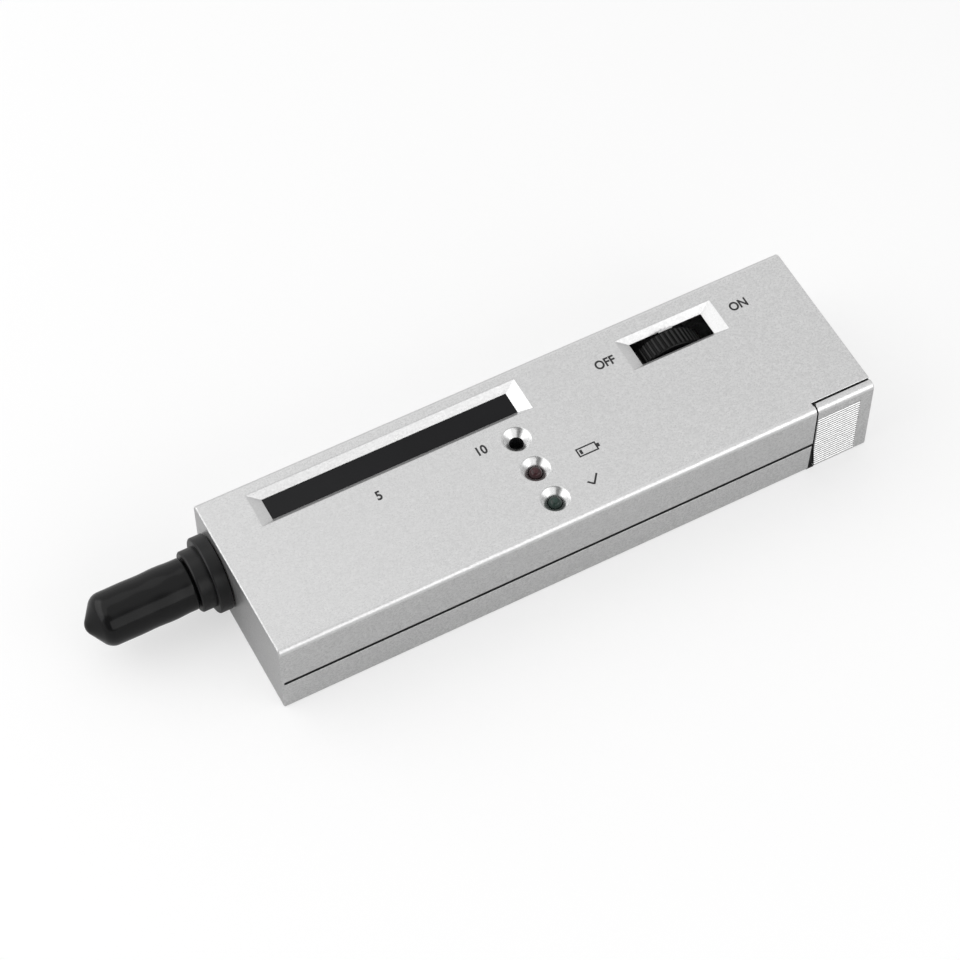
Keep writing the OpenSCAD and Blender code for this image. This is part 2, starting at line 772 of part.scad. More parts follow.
module probe_collar() color("black") in_case() on_probe() rotate_extrude() {
    bore = sleeve_r + run;
    brow = 0.25;
    polygon([
        [bore, nose_end], [nose_r, nose_end], [tail_r, spigot_end], [spigot_r, spigot_end + brow],
        [spigot_r, step_end], [step_r - brow, step_end], [step_r, step_end + brow],
        [step_r, ring_end], [ring_r - brow, ring_end], [ring_r, ring_end + brow],
        [ring_r, -ring_gap], [neck_r, -ring_gap], [neck_r, wall + fit],
        [neck_r + flange_lip, wall + fit], [neck_r + flange_lip, flange_end],
        [tail_r, flange_end], [tail_r, collar_tail], [bore, collar_tail]
    ]);
}

module probe_sleeve() color("lightgray") in_case() on_probe() rotate_extrude() polygon([
    [tip_r + run, sleeve_end], [sleeve_r - sleeve_lip, sleeve_end], [sleeve_r, sleeve_end + sleeve_lip],
    [sleeve_r, sleeve_rear], [sleeve_bore, sleeve_rear], [sleeve_bore, sleeve_end + sleeve_lip],
    [tip_r + run, sleeve_end + sleeve_lip]
]);

module probe_tip() color("peru") in_case() on_probe() rotate_extrude() polygon([
    [0, tip_end], [tip_r / 3, tip_end], [tip_r, tip_end + 2 * tip_r], [tip_r, head_u],
    [sleeve_bore - run, head_u], [sleeve_bore - run, heater_u], [rod_r, heater_u],
    [rod_r, rod_end], [0, rod_end]
]);

module probe_heater() color("white") in_case() on_probe() difference() {
    translate([0, 0, heater_u]) cylinder(r = sleeve_bore - clear, h = heater_l);
    translate([0, 0, heater_u - over]) cylinder(r = rod_r + run, h = heater_l + 2 * over);
}

// Helix of the spring, between the heater and the plug
module probe_spring() color("lightgray") in_case() on_probe() {
    steps = 8 * spring_turns;
    coil_r = (rod_r + sleeve_bore) / 2;
    low = spring_u + wire_r + fit;
    rise = plug_u - wire_r - fit - low;
    path = [for (i = [0 : steps]) [coil_r * cos(45 * i), coil_r * sin(45 * i), low + rise * i / steps]];
    tube(path, wire_r, 6, [0, 0, 1]);
}

module probe_plug() color("ivory") in_case() on_probe() difference() {
    translate([0, 0, plug_u]) cylinder(r = sleeve_bore - run, h = plug_l);
    translate([0, 0, plug_u - over]) cylinder(r = rod_r + run, h = plug_l + 2 * over);
}

module probe_leads() color("darkred") in_case()
    for (way = [-1, 1]) {
        v = probe_v + way * (rod_r + sleeve_bore) / 2;
        rise = probe_lead_z - probe_z;
        tube([
            [sleeve_rear, v, probe_z], [sleeve_rear + 0.8, v, probe_z],
            [sleeve_rear + 1.7, v - 0.2, probe_z + 0.45 * rise], [sleeve_rear + 2.6, v - 0.6, probe_lead_z],
            [board_u + 0.5, v - 1.4, probe_lead_z], [board_u + 2.5, v - 2.6, probe_lead_z]
        ], probe_lead_r, 8, [0, 0, 1]);
    }

// The cap's shoulder arc and its end arc share the cone as their tangent
shoulder_side = cap_r - cap_shoulder_r;
cap_tip_u = cap_end + cap_tip_r;
shoulder_u = cap_tip_u
    + (shoulder_side * cos(cap_angle) + cap_shoulder_r - cap_tip_r) / sin(cap_angle);
function cap_arc(side, u, r, from, to, steps) = [
    for (i = [0 : steps])
    let (a = from + (to - from) * i / steps)
    [side + r * cos(a), u - r * sin(a)]
];

module probe_cap() color("black") in_case() on_probe() difference() {
    rotate_extrude() polygon(concat(
        [[0, cap_base], [cap_r, cap_base]],
        cap_arc(shoulder_side, shoulder_u, cap_shoulder_r, 0, cap_angle, 6),
        cap_arc(0, cap_tip_u, cap_tip_r, cap_angle, 90, 4)
    ));
    translate([0, 0, spigot_end - clear])
        cylinder(r = spigot_r + fit, h = cap_base + over - spigot_end + clear);
    translate([0, 0, tip_end]) cylinder(r = spigot_r - 2 * fit, h = spigot_end - tip_end);
    translate([0, 0, cap_end + cap_end_t])
        cylinder(r1 = cap_tip_r, r2 = spigot_r - 2 * fit, h = tip_end - cap_end - cap_end_t);
}

module battery() color("darkslateblue") in_case()
    block([battery_u, battery_v, battery_z], [battery_u + battery_l, battery_far, battery_z + battery_h]);

// Frame whose Z axis is a contact's axis, on one side of the battery's middle
module on_contact(way, u)
    translate([u, battery_mid + way * terminal_pitch / 2, snap_z]) rotate([0, 90, 0]) children();

// Hollow contact that takes the other piece's stud
module contact_ring(h) difference() {
    cylinder(r = stud_r + contact_wall, h = h);
    translate([0, 0, -over]) cylinder(r = stud_r + fit, h = h + 2 * over);
}

module battery_terminals() color("lightgray") in_case() {
    on_contact(-1, terminal_u) cylinder(r = stud_r, h = terminal_h);
    on_contact(1, terminal_u) contact_ring(terminal_h);
}

module battery_snap() color("black") in_case()
    block([snap_u, battery_mid - terminal_pitch, snap_z - terminal_pitch / 2],
          [snap_end, battery_mid + terminal_pitch, snap_z + terminal_pitch / 2]);

module snap_contacts() color("lightgray") in_case() {
    on_contact(-1, snap_end) contact_ring(terminal_h);
    on_contact(1, snap_end) cylinder(r = stud_r, h = terminal_h);
}

// Lead from the snap connector to the board, bowed to one side
module battery_lead(way) in_case() {
    path = [for (p = lead_turns) [snap_u + p[0], battery_mid + way * (lead_apart + p[1]), lead_z]];
    tube(path, lead_r, 8, [0, 0, 1]);
}

module red_lead() color("red") battery_lead(1);

module black_lead() color("black") battery_lead(-1);

module case_screws() color("gray") in_case() for (p = posts) {
    upright(p, screw_head_r, screw_seat - screw_head_h, screw_seat);
    upright(p, screw_r, screw_seat - sink, screw_seat + screw_l);
}

upper_shell();
lower_shell();
battery_door();
bar_window();
light_block();
bar_lights();
ready_lamp();
battery_lamp();
buzzer();
main_board();
board_screws();
driver_chip();
amplifier_chip();
capacitors();
resistors();
trimmer();
control_body();
control_pins();
wheel_axle();
thumbwheel();
wheel_screw();
probe_collar();
probe_sleeve();
probe_tip();
probe_heater();
probe_spring();
probe_plug();
probe_leads();
probe_cap();
battery();
battery_terminals();
battery_snap();
snap_contacts();
red_lead();
black_lead();
case_screws();
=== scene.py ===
import math

import bmesh
import bpy
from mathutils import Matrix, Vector


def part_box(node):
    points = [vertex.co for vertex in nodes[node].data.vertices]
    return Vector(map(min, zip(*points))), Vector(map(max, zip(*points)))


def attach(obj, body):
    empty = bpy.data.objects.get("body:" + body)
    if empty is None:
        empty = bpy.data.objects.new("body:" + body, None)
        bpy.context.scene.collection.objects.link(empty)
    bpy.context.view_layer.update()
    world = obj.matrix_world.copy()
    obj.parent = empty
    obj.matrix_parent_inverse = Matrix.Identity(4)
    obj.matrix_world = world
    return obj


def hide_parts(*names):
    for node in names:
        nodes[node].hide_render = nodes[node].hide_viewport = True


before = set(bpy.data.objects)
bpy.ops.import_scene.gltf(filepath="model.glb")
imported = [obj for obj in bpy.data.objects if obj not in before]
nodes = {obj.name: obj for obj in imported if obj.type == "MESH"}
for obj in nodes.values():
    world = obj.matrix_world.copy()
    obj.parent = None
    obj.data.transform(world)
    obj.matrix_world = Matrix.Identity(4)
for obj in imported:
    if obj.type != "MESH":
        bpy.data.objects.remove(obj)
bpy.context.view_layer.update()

mm = 0.001
scene = bpy.context.scene
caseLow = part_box("lower_shell")[0]
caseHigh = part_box("upper_shell")[1]
along, across, upward = Vector((1, 0, 0)), Vector((0, 1, 0)), Vector((0, 0, 1))


def at(u, v, z):        # mm from the case's probe end, near side and underside
    return caseLow + Vector((u, v, z)) * mm


def onTop(u, v):        # a place on the roof
    return at(u, v, 0) + upward * (caseHigh.z - caseLow.z)


# Camera, at the angle of the photograph
camera = {
    "place": (-161.007, -308.288, 539.522),        # mm
    "turn": (33.716, 0.143, -27.970),        # degrees
    "lens": 114.533,        # mm
    "nearest": 10,        # mm, what is closer isn't drawn
}


def addCamera():
    bpy.ops.object.camera_add()
    eye = bpy.context.object
    eye.location = Vector(camera["place"]) * mm
    eye.rotation_euler = [math.radians(angle) for angle in camera["turn"]]
    eye.data.lens = camera["lens"]
    eye.data.clip_start = camera["nearest"] * mm
    eye.data.dof.use_dof = False
    scene.camera = eye


# Shader wiring
def feed(socket, value):
    if isinstance(value, Wire):
        socket.id_data.links.new(value.socket, socket)
    else:
        socket.default_value = value


class Wire:        # a shader socket that plain arithmetic works on
    def __init__(self, socket):
        self.socket = socket

    def node(self, kind, settings=None, inputs=None, out=0):
        made = self.socket.id_data.nodes.new(kind)
        for key, value in (settings or {}).items():
            if key == "stops":
                setStops(made.color_ramp, value)
            else:
                setattr(made, key, value)
        for key, value in (inputs or {}).items():
            feed(made.inputs[key], value)
        return Wire(made.outputs[out])

    def math(self, operation, other=0.0, flip=False):
        pair = (other, self) if flip else (self, other)
        return self.node("ShaderNodeMath", {"operation": operation}, {0: pair[0], 1: pair[1]})

    def __add__(self, other):
        return self.math("ADD", other)

    def __sub__(self, other):
        return self.math("SUBTRACT", other)

    def __rsub__(self, other):
        return self.math("SUBTRACT", other, True)

    def __mul__(self, other):
        return self.math("MULTIPLY", other)

    def __truediv__(self, other):
        return self.math("DIVIDE", other)

    def __lt__(self, other):
        return self.math("LESS_THAN", other)

    __radd__ = __add__
    __rmul__ = __mul__


def setStops(ramp, stops):
    while len(ramp.elements) < len(stops):
        ramp.elements.new(1.0)
    for element, (spot, colour) in zip(ramp.elements, stops):
        element.position = spot
        element.color = (*colour, 1.0)


def grey(level):
    return (level, level, level, 1.0)


def newPaint(name, **constants):
    paint = bpy.data.materials.new(name)
    paint.use_nodes = True
    shader = paint.node_tree.nodes["Principled BSDF"]
    for key, value in constants.items():
        shader.inputs[key.replace("_", " ")].default_value = value
    coordinates = paint.node_tree.nodes.new("ShaderNodeTexCoord")
    return paint, shader, Wire(coordinates.outputs["Object"])


def noise(place, size, detail=2.0, roughness=0.5):        # size in mm
    sockets = {"Vector": place, "Scale": 1 / (size * mm), "Detail": detail, "Roughness": roughness}
    return place.node("ShaderNodeTexNoise", {}, sockets, "Fac")


def cells(place, size):        # a random colour for each small cell
    sockets = {"Vector": place, "Scale": 1 / (size * mm)}
    return place.node("ShaderNodeTexVoronoi", {}, sockets, "Color")


def red(colour):        # one channel of a colour, as a number
    return colour.node("ShaderNodeSeparateColor", {}, {0: colour}, "Red")


def axis(place, name):
    return place.node("ShaderNodeSeparateXYZ", {}, {0: place}, name)


def blendColour(share, first, second):
    return share.node("ShaderNodeMix", {"data_type": "RGBA"}, {0: share, 6: first, 7: second}, 2)


def bumped(height, depth):        # depth in mm
    sockets = {"Height": height, "Distance": depth * mm, "Strength": 1.0}
    return height.node("ShaderNodeBump", {}, sockets, "Normal")


# Finishes of the case
silver = {
    "tone": 0.68, "contrast": 0.125,        # base colour of the flakes, and how far it varies
    "quiet": 0.3,        # share of that contrast that a finish without grain keeps
    "flake": 0.28, "clump": 0.9, "mottle": 22.0,        # mm across
    "shares": (0.65, 0.25, 0.1),        # how much of each is in the colour
    "tilt": 0.20,        # how far a flake leans
    "patch": 0.6, "spread": 0.12,        # mm across, and how much the roughness varies over it
    "peel": (1.4, 0.01),        # mm across and deep
    # metallic share, least roughness, lift in colour and grain of each finish
    "sprayed": (0.65, 0.39, 0.0, 1.0),
    "cut": (0.75, 0.24, 0.0, 0.2),        # bevels
    "edge": (0.75, 0.25, 0.10, 0.3),        # long rounded edges, smoother, and lighter in colour as a painted highlight
    "polished": (0.95, 0.20, 0.02, 0.05),        # countersinks
    "end": (0.80, 0.24, -0.04, 0.3),        # the end that the probe stands on, a little darker in colour as painted shade
    "rib": (0.75, 0.25, 0.10, 0.3),        # sides of the grip ribs that look up, lighter in colour as a painted highlight
}
rib = {
    "left": (124.5, 124.75), "valley": (0.20, 0.14),        # mm along and mm deep, from painted shade to plain paint
    # colour of the painted shade on the grip ribs
    "shadeTone": 0.05,
}


def ribShare(place):        # how much of the grip ribs stays plain: painted shade darkens their valleys and their left ends beside the gap
    share = []
    for name, start, ends in (("X", caseLow.x, rib["left"]), ("Y", caseLow.y, rib["valley"])):
        level = (axis(place, name) - start) / mm
        sockets = {"Value": level, "From Min": ends[0], "From Max": ends[1]}
        share.append(level.node("ShaderNodeMapRange", {}, sockets, "Result"))
    return share[0] * share[1]


def silverPaint(name, metallic, roughness, lift, grain, share=None):
    paint, shader, place = newPaint(name, Metallic=metallic)
    flakes = cells(place, silver["flake"])
    fine, middling, broad = silver["shares"]
    shade = red(flakes) * fine
    shade = shade + noise(place, silver["clump"]) * middling + noise(place, silver["mottle"]) * broad
    half = silver["contrast"] * (silver["quiet"] + (1 - silver["quiet"]) * grain)
    colour = blendColour(shade, grey(silver["tone"] + lift - half), grey(silver["tone"] + lift + half))
    # painted shade, where a share of plain paint is given
    if share:
        colour = blendColour(share(place), grey(rib["shadeTone"]), colour)
    feed(shader.inputs["Base Color"], colour)
    feed(shader.inputs["Roughness"], noise(place, silver["patch"]) * silver["spread"] + roughness)
    tilt = silver["tilt"] * grain
    lean = flakes.node("ShaderNodeVectorMath", {"operation": "MULTIPLY_ADD"},
                       {0: flakes, 1: (tilt,) * 3, 2: (-tilt / 2,) * 3})
    peelSize, peelDepth = silver["peel"]
    peel = bumped(noise(place, peelSize), peelDepth * grain)
    tilted = peel.node("ShaderNodeVectorMath", {"operation": "ADD"}, {0: peel, 1: lean})
    normal = tilted.node("ShaderNodeVectorMath", {"operation": "NORMALIZE"}, {0: tilted})
    feed(shader.inputs["Normal"], normal)
    return paint


# Moulded and coated finishes
moulded = {
    "cloud": 6.0, "cloudShare": 0.6,        # mm across, and its share in the colour beside the grain
    "sheen": 2.5, "spread": 0.12,        # mm across, and how much the roughness varies over it
    "detail": 3.0,
}
plastics = {        # colour, roughness, grain and its depth in mm, shift in colour, specular level
    # dark paint standing in for the shade inside grooves and gaps
    "paintedShadeDark": ((0.03, 0.03, 0.031), 0.6, 0.2, 0.004),
    "ink": ((0.012, 0.012, 0.013), 0.5, 0.2, 0.002),
    "smokedPane": ((0.010, 0.010, 0.011), 0.16, 0.8, 0.001, 0.2, 0.15),
    "glossBlack": ((0.006, 0.006, 0.0063), 0.17, 3.0, 0.012, 0.2, 0.24),
    "satinBlack": ((0.004, 0.004, 0.0043), 0.34, 0.15, 0.003, 0.35, 0.35),
    "wheelBlack": ((0.010, 0.010, 0.010), 0.42, 0.15, 0.004, 0.35, 0.32),
    # the wheel's grooves, darker in colour as painted shade
    "wheelGrooveShade": ((0.006, 0.006, 0.006), 0.55, 0.15, 0.004, 0.35, 0.16),
    "chipBlack": ((0.02, 0.02, 0.021), 0.55, 0.12, 0.006),
    "clearLens": ((0.8, 0.8, 0.76), 0.2, 1.0, 0.001, 0.05),
    "boardGreen": ((0.02, 0.16, 0.06), 0.35, 0.4, 0.004),
    "capacitorBlue": ((0.02, 0.03, 0.16), 0.25, 0.5, 0.002),
    "resistorTan": ((0.5, 0.38, 0.22), 0.4, 0.4, 0.003, 0.15),
    "trimmerBlue": ((0.02, 0.08, 0.4), 0.4, 0.4, 0.003, 0.15),
    "heaterWhite": ((0.8, 0.78, 0.74), 0.6, 0.1, 0.006, 0.06),
    "plugIvory": ((0.72, 0.66, 0.52), 0.5, 0.2, 0.004, 0.08),
    "leadRed": ((0.4, 0.015, 0.012), 0.4, 0.4, 0.002, 0.15),
    "leadBlack": ((0.012, 0.012, 0.012), 0.4, 0.4, 0.002),
    "batteryJacket": ((0.03, 0.035, 0.06), 0.3, 2.0, 0.002, 0.15),
}


def plastic(name, colour, roughness, grain, depth, shift=0.35, specular=0.5):
    paint, shader, place = newPaint(name, Specular_IOR_Level=specular)
    detail, cloudShare, spread = moulded["detail"], moulded["cloudShare"], moulded["spread"]
    tone = noise(place, moulded["cloud"], detail) * cloudShare + noise(place, grain) * (1 - cloudShare)
    dark = [c * (1 - shift) for c in colour]
    light = [c * (1 + shift) for c in colour]
    feed(shader.inputs["Base Color"], blendColour(tone, (*dark, 1.0), (*light, 1.0)))
    patches = noise(place, moulded["sheen"], detail)
    feed(shader.inputs["Roughness"], patches * spread + (roughness - spread / 2))
    feed(shader.inputs["Normal"], bumped(noise(place, grain, detail), depth))
    return paint


# Lamps: a tinted lens with the cup and the frame inside it showing through, and a painted highlight in a ring
holes = {        # middles along and across, and a radius with some room, mm
    "u": 65.6, "ready": 6.6, "battery": 14.9, "sound": 23.2, "radius": 3.4,
}
lens = {
    "specular": 0.35,
    "radius": 1.5,        # mm
    # share of the radius, and level there; the brightest ring is a painted highlight
    "rings": [(0.0, 0.75), (0.3, 1.0), (0.55, 0.55), (0.62, 1.25), (1.0, 0.7)],
    "posts": (0.25, 0.65, 0.4), "postReach": 0.8,        # mm where they fade, level, and mm
    "haze": (0.5, 0.2),        # mm and level
    "room": 2.0,        # levels are divided by it in the mix, which stops at 1
    "sheen": (0.8, 0.08, 0.16),        # mm, spread and least roughness
    "ripple": (0.9, 0.002),        # mm across and deep
}


def lensPaint(name, colour, v):
    paint, shader, place = newPaint(name, Specular_IOR_Level=lens["specular"])
    centre = at(holes["u"], v, 0)
    away = place.node("ShaderNodeVectorMath", {"operation": "SUBTRACT"}, {0: place, 1: centre})
    side, deep = axis(away, "X") * (1 / mm), axis(away, "Y") * (1 / mm)
    radius = (side * side + deep * deep).math("SQRT")
    stops = [(spot, (level,) * 3) for spot, level in lens["rings"]]
    rings = radius.node("ShaderNodeValToRGB", {"stops": stops}, {0: radius / lens["radius"]}, "Color")
    start, end, level = lens["posts"]
    sockets = {"Value": side.math("ABSOLUTE"), "From Min": start, "From Max": end,
               "To Min": level, "To Max": 0.0}
    posts = side.node("ShaderNodeMapRange", {}, sockets, "Result")
    hazeSize, hazeLevel = lens["haze"]
    shade = red(rings) + posts * (radius < lens["postReach"]) + noise(place, hazeSize) * hazeLevel
    bright = [lens["room"] * c for c in colour]
    feed(shader.inputs["Base Color"], blendColour(shade * (1 / lens["room"]), grey(0.0), (*bright, 1.0)))
    sheenSize, spread, least = lens["sheen"]
    feed(shader.inputs["Roughness"], noise(place, sheenSize) * spread + least)
    rippleSize, rippleDepth = lens["ripple"]
    feed(shader.inputs["Normal"], bumped(noise(place, rippleSize), rippleDepth))
    return paint


# Metals
drawn = {
    "grain": (0.2, 4.0, 0.6), "depth": 0.002,        # mm across, detail and roughness of the noise, mm deep
    "dark": 0.82, "spread": 0.16,        # darkest share of the colour, and how much the roughness varies
}
metals = {        # colour and roughness
    "steel": ((0.56, 0.56, 0.57), 0.32),
    "nickel": ((0.72, 0.70, 0.66), 0.24),
    "copper": ((0.72, 0.38, 0.24), 0.26),
}


def metal(name, colour, roughness):
    paint, shader, place = newPaint(name, Metallic=1.0)
    line = noise(place, *drawn["grain"])
    dark = [c * drawn["dark"] for c in colour]
    feed(shader.inputs["Base Color"], blendColour(line, (*dark, 1.0), (*colour, 1.0)))
    feed(shader.inputs["Roughness"], line * drawn["spread"] + (roughness - drawn["spread"] / 2))
    feed(shader.inputs["Normal"], bumped(line, drawn["depth"]))
    return paint


paints = {
    "silverPaint": silverPaint("silverPaint", *silver["sprayed"]),
    "cutSilver": silverPaint("cutSilver", *silver["cut"]),
    "highlightEdgeSilver": silverPaint("highlightEdgeSilver", *silver["edge"]),
    "polishedSink": silverPaint("polishedSink", *silver["polished"]),
    "endSilver": silverPaint("endSilver", *silver["end"]),
    "ribSilver": silverPaint("ribSilver", *silver["rib"], ribShare),
    "greenLens": lensPaint("greenLens", (0.016, 0.032, 0.026), holes["ready"]),
    "redLens": lensPaint("redLens", (0.036, 0.012, 0.014), holes["battery"]),
}
for paintName, values in plastics.items():
    paints[paintName] = plastic(paintName, *values)
for paintName, values in metals.items():
    paints[paintName] = metal(paintName, *values)

nodePaints = {
    "silverPaint": ["upper_shell", "lower_shell", "battery_door"],
    "smokedPane": ["bar_window"],
    "glossBlack": ["probe_cap"],
    "satinBlack": ["probe_collar"],
    "wheelBlack": ["thumbwheel"],
    "chipBlack": ["light_block", "buzzer", "driver_chip", "amplifier_chip", "control_body"],
    "greenLens": ["ready_lamp"],
    "redLens": ["battery_lamp"],
    "clearLens": ["bar_lights"],
    "boardGreen": ["main_board"],
    "capacitorBlue": ["capacitors"],
    "resistorTan": ["resistors"],
    "trimmerBlue": ["trimmer"],
    "heaterWhite": ["probe_heater"],
    "plugIvory": ["probe_plug"],
    "leadRed": ["red_lead", "probe_leads"],
    "leadBlack": ["black_lead", "battery_snap"],
    "batteryJacket": ["battery"],
    "steel": ["board_screws", "case_screws", "wheel_screw", "probe_spring"],
    "nickel": ["control_pins", "wheel_axle", "probe_sleeve", "battery_terminals", "snap_contacts"],
    "copper": ["probe_tip"],
}
for paintName, painted in nodePaints.items():
    for node in painted:
        nodes[node].data.materials.clear()
        nodes[node].data.materials.append(paints[paintName])
print("finishes:", len(paints), "on", sum(map(len, nodePaints.values())), "nodes")


# Modelling helpers
modelling = {
    "corner": 25,        # degrees, from which an outside edge is a corner
    "flat": 0.4,        # degrees, up to which triangles are joined into one face
    "weld": 0.002, "fineWeld": 0.001,        # mm, points this near each other become one
    "level": 0.004,        # mm, how near a plane counts as on it
}


def only(piece):
    bpy.ops.object.select_all(action="DESELECT")
    piece.select_set(True)
    bpy.context.view_layer.objects.active = piece


def openMesh(piece):
    only(piece)
    bpy.ops.object.mode_set(mode="EDIT")
    bpy.ops.mesh.select_all(action="SELECT")


def pick(piece, kind, test):        # selects the faces, edges or verts that pass a test
    bpy.ops.mesh.select_mode(type={"faces": "FACE", "edges": "EDGE", "verts": "VERT"}[kind])
    bpy.ops.mesh.select_all(action="DESELECT")
    mesh = bmesh.from_edit_mesh(piece.data)
    for item in [item for item in getattr(mesh, kind) if test(item)]:
        item.select_set(True)
    mesh.select_flush_mode()
    bmesh.update_edit_mesh(piece.data)


def paintFaces(piece, number, test):        # gives the faces that pass a test the finish in a slot
    pick(piece, "faces", test)
    piece.active_material_index = number
    bpy.ops.object.material_slot_assign()


def sharp(edge):        # an outside corner
    corner = math.radians(modelling["corner"])
    return len(edge.link_faces) == 2 and edge.is_convex and edge.calc_face_angle(0) > corner


def lies(item, number, level):        # flat on a plane across axis 0, 1 or 2
    return all(abs(vert.co[number] - level) < modelling["level"] * mm for vert in item.verts)


def anyEdge(edge):
    return True


def roundEdges(piece, radius, segments, test):
    pick(piece, "edges", lambda edge: sharp(edge) and test(edge))
    bpy.ops.mesh.bevel(offset=radius * mm, segments=segments, affect="EDGES", clamp_overlap=False,
                       loop_slide=False)


def copyNode(name, node):        # a node's triangles, joined into whole faces, in edit mode
    piece = bpy.data.objects.new(name, nodes[node].data.copy())
    scene.collection.objects.link(piece)
    piece.data.materials.clear()
    only(piece)
    bpy.ops.mesh.customdata_custom_splitnormals_clear()        # the joined faces get their own
    openMesh(piece)
    bpy.ops.mesh.remove_doubles(threshold=modelling["weld"] * mm)
    bpy.ops.mesh.dissolve_limited(angle_limit=math.radians(modelling["flat"]))
    return piece


def spinPiece(name, profile, foot, way, out, steps):        # turns (radius, height) points round an axis
    bpy.ops.object.select_all(action="DESELECT")
    bpy.ops.mesh.primitive_circle_add(vertices=3, radius=mm)
    piece = bpy.context.object
    piece.name = name
    openMesh(piece)
    bpy.ops.mesh.select_mode(type="VERT")
    bpy.ops.mesh.select_all(action="SELECT")
    bpy.ops.mesh.merge(type="CENTER")        # one point, which the profile starts from
    here = Vector()
    for step, (radius, height) in enumerate(profile):
        point = foot + (out * radius + way * height) * mm
        if step:
            bpy.ops.mesh.extrude_region_move(TRANSFORM_OT_translate={"value": point - here})
        else:
            bpy.ops.transform.translate(value=point - here)
        here = point
    bpy.ops.mesh.select_all(action="SELECT")
    bpy.ops.mesh.spin(steps=steps, angle=math.tau, center=foot, axis=way)
    bpy.ops.mesh.select_all(action="SELECT")
    bpy.ops.mesh.remove_doubles(threshold=modelling["fineWeld"] * mm)
    bpy.ops.mesh.normals_make_consistent(inside=False)
    return piece


def finishPiece(piece, body, paintName, stands=(), smooth=35):        # smooth in degrees
    bpy.ops.object.mode_set(mode="OBJECT")
    only(piece)
    if not piece.data.materials:
        piece.data.materials.append(paints[paintName])
    bpy.ops.object.shade_smooth_by_angle(angle=math.radians(smooth))
    bpy.ops.object.modifier_add(type="WEIGHTED_NORMAL")        # keeps the flat faces flat
    piece.modifiers[-1].weight = 100
    piece.modifiers[-1].keep_sharp = True
    bpy.ops.object.modifier_apply(modifier=piece.modifiers[-1].name)
    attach(piece, body)
    if stands:
        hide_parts(*stands)


def arc(side, height, radius, start, stop, count):        # profile points round a corner
    turns = [math.radians(start + (stop - start) * k / count) for k in range(count + 1)]
    return [(side + radius * math.cos(turn), height - radius * math.sin(turn)) for turn in turns]


# Case: both shells and the door, with their outer edges rounded
case = {
    # radius in mm and segments of the rounded edges
    "rim": (0.2, 3),        # roof openings
    "end": (0.35, 4),
    "side": (0.08, 4),        # the shadow groove and the underside
    "ribs": (0.05, 2),
    "smooth": 25,        # degrees, so the corners of the bevels stay crisp
    # where each finish goes, in mm
    "roofDepth": 1.6,        # how deep the bevels and countersinks go
    "edgeRoom": 2.4,        # roof left of them round the outside
    "edge": 1.6,        # reach of the rounded long edges
    "endReach": 0.05,        # depth of the flat end
    "groove": (8.3, 9.5), "grooveDepth": (0.1, 1.0),        # heights and depths of the shadow groove
    "doorStart": 124.0, "wedge": 1.4,        # where the door's opening starts, and reach of its wedge
    "opening": (-1.0, 0.1), "openingSide": (0.3, 3.0),        # its wall, from that start and across
    "doorSkin": 0.5,        # depth of the door's outside at the wedge
    "gap": (1.85, 2.5), "gapDrop": 0.2,        # the gap beside the door's strip, across and below the roof
    "lip": ((123.3, 0.06, 0.02), (125.12, 0.76, 0.22)),        # corners of the lip under the wedge
    # and which way the faces look there: parts of a normal of length 1
    "cutUp": (0.1, 0.98), "filletLean": 0.12, "flankLean": 0.3, "gapSide": 0.5, "endOut": 0.9,
}


def fromCorner(point):        # mm along, across and up from the case's corner
    return (point - caseLow) / mm


def onCaseEnd(edge):        # the seam's edges stay sharp there
    low, high = case["groove"]
    seam = all(low * mm < vert.co.z - caseLow.z < high * mm for vert in edge.verts)
    return not seam and (lies(edge, 0, caseLow.x) or lies(edge, 0, caseHigh.x))


def onRoof(edge):
    return lies(edge, 2, caseHigh.z) and not onCaseEnd(edge)


def onCaseSide(edge):
    planes = ((1, caseLow.y), (1, caseHigh.y), (2, caseLow.z))
    return any(lies(edge, number, level) for number, level in planes)


def isCut(face):        # a bevel or a countersink of the roof
    middle = face.calc_center_median()
    margin = Vector((1, 1, 0)) * case["edgeRoom"] * mm
    low, high = caseLow + margin, caseHigh - margin
    inside = low.x < middle.x < high.x and low.y < middle.y < high.y
    least, most = case["cutUp"]
    return inside and middle.z > caseHigh.z - case["roofDepth"] * mm and least < face.normal.z < most


def isSink(face):        # the cone of a countersink
    middle = fromCorner(face.calc_center_median())
    rows = (holes["ready"], holes["battery"], holes["sound"])
    nearest = min(math.hypot(middle.x - holes["u"], middle.y - v) for v in rows)
    return isCut(face) and nearest < holes["radius"]


def isFillet(face):        # the rounded long edges of the roof
    middle = face.calc_center_median()
    depth = min(middle.y - caseLow.y, caseHigh.y - middle.y)
    near = depth < case["edge"] * mm and middle.z > caseHigh.z - case["edge"] * mm
    return near and abs(face.normal.y) > case["filletLean"] and face.normal.z > case["filletLean"]


def isRibFlank(face):        # the side of a grip rib that looks up
    lean = case["flankLean"]
    return face.normal.y < -lean and face.normal.z > lean and not isFillet(face)


def isProbeEnd(face):        # the flat end that the probe stands on
    reach = caseLow.x + case["endReach"] * mm
    return face.normal.x < -case["endOut"] and face.calc_center_median().x < reach


def isStripGap(face, middle):        # the walls of the gap beside the door's strip
    low, high = case["gap"]
    inside = middle.x > case["doorStart"] and low < middle.y < high
    below = middle.z < (caseHigh.z - caseLow.z) / mm - case["gapDrop"]
    return inside and below and abs(face.normal.y) > case["gapSide"]


